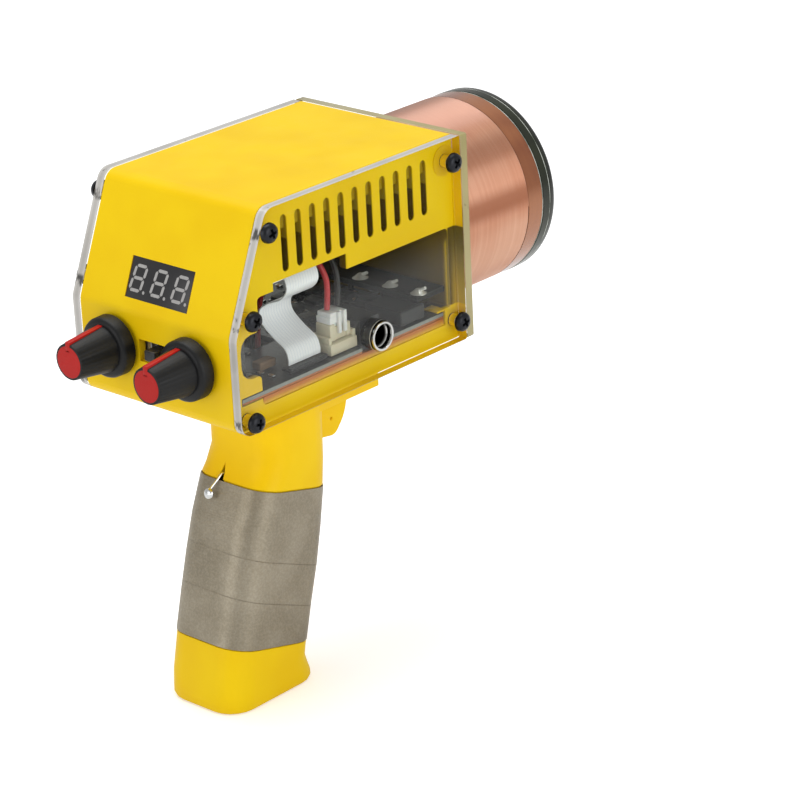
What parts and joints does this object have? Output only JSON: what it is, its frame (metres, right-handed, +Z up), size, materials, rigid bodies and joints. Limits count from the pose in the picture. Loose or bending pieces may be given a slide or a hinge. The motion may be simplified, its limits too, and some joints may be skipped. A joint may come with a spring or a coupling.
{
  "type": "handheld high-voltage coil",
  "caption": "Handheld high-voltage coil: yellow pistol-grip housing with clear sides, a copper-wound tube in front, rear dials, a display, a mode switch, a trigger and conductive tape.",
  "frame": {"origin": "centre of the grip's flat bottom face", "axes": "+Y the way the coil points, +Z up from the grip's foot, +X the right hand side seen from behind"},
  "size_m": [0.0654, 0.1602, 0.1475],
  "materials": {
    "amber_tape": "thin amber film",
    "black_lead": "insulated wire",
    "black_plastic": "satin black",
    "black_steel": "black oxide",
    "blue_wrap": "shrink wrap",
    "brass_metal": "turned brass",
    "circuit_board": "black solder mask",
    "clear_acrylic": "clear polished sheet",
    "conductive_cloth": "metallised cloth tape",
    "copper_wire": "enamelled copper, polished",
    "cream_plastic": "moulded nylon",
    "red_lead": "insulated wire",
    "red_plastic": "satin red",
    "smoked_acrylic": "dark glossy sheet",
    "solder": "bright solder",
    "steel": "bright metal",
    "tan_resin": "moulded resin",
    "white_plastic": "white film or nylon",
    "yellow_plastic": "satin moulded plastic"
  },
  "bodies": {
    "body": {"battery_lead_black": "black_lead", "battery_lead_red": "red_lead", "battery_pack": "blue_wrap", "battery_plug": "white_plastic", "battery_socket": "cream_plastic", "board_screw_left": "steel", "board_screw_right": "steel", "charge_socket": "black_plastic", "charge_socket_sleeve": "steel", "coil_base_plug": "black_plastic", "coil_screw_lower": "steel", "coil_screw_upper": "steel", "coil_tube": "clear_acrylic", "conductive_tape": "conductive_cloth", "control_board": "circuit_board", "discharge_tip": "brass_metal", "driver_board": "circuit_board", "end_disc": "smoked_acrylic", "end_tape": "amber_tape", "frequency_potentiometer": "steel", "front_plate": "clear_acrylic", "grip_screw_left": "steel", "grip_screw_right": "steel", "grip_shell": "yellow_plastic", "ground_wire": "solder", "main_board": "circuit_board", "main_housing": "yellow_plastic", "microswitch_body": "black_plastic", "mode_switch_body": "steel", "panel_screw_left_front_bottom": "black_steel", "panel_screw_left_front_top": "black_steel", "panel_screw_left_rear_bottom": "black_steel", "panel_screw_left_rear_middle": "black_steel", "panel_screw_left_rear_top": "black_steel", "panel_screw_right_front_bottom": "black_steel", "panel_screw_right_front_top": "black_steel", "panel_screw_right_rear_bottom": "black_steel", "panel_screw_right_rear_middle": "black_steel", "panel_screw_right_rear_top": "black_steel", "power_inductor": "black_plastic", "power_potentiometer": "steel", "power_transistor": "black_plastic", "primary_coil": "copper_wire", "ribbon_cable": "white_plastic", "ribbon_connector": "black_plastic", "secondary_winding": "copper_wire", "side_panel_left": "clear_acrylic", "side_panel_right": "clear_acrylic", "tantalum_capacitor": "tan_resin", "trigger_pin": "steel", "voltage_display": "black_plastic"},
    "power_knob": {"power_knob": "black_plastic", "power_knob_cap": "red_plastic", "power_shaft": "steel"},
    "frequency_knob": {"frequency_knob": "black_plastic", "frequency_knob_cap": "red_plastic", "frequency_shaft": "steel"},
    "mode_slider": {"mode_switch_slider": "black_plastic"},
    "trigger": {"trigger": "yellow_plastic"},
    "microswitch_plunger": {"microswitch_plunger": "red_plastic"}
  },
  "joints": [
    {"name": "power_knob_turn", "type": "hinge", "parent": "body", "child": "power_knob", "pos_m": [-0.0145, -0.0241, 0.1056], "axis": [0, 1, 0], "range_deg": [-150, 150]},
    {"name": "frequency_knob_turn", "type": "hinge", "parent": "body", "child": "frequency_knob", "pos_m": [0.0145, -0.0241, 0.1056], "axis": [0, 1, 0], "range_deg": [-150, 150]},
    {"name": "mode_slide", "type": "slide", "parent": "body", "child": "mode_slider", "axis": [1, 0, 0], "range_m": [-0.002, 0.002]},
    {"name": "trigger_pull", "type": "hinge", "parent": "body", "child": "trigger", "pos_m": [0, 0.0384, 0.0831], "axis": [-1, 0, 0], "range_deg": [0, 7], "stiffness_Nm_per_rad": 0.4, "springref_deg": -6.88},
    {"name": "plunger_press", "type": "slide", "parent": "body", "child": "microswitch_plunger", "axis": [0, -1, 0], "range_m": [0, 0.00095]}
  ],
  "couplings": [
    {"joint": "plunger_press", "follows": "trigger_pull", "m_per_rad": 0.0073}
  ]
}
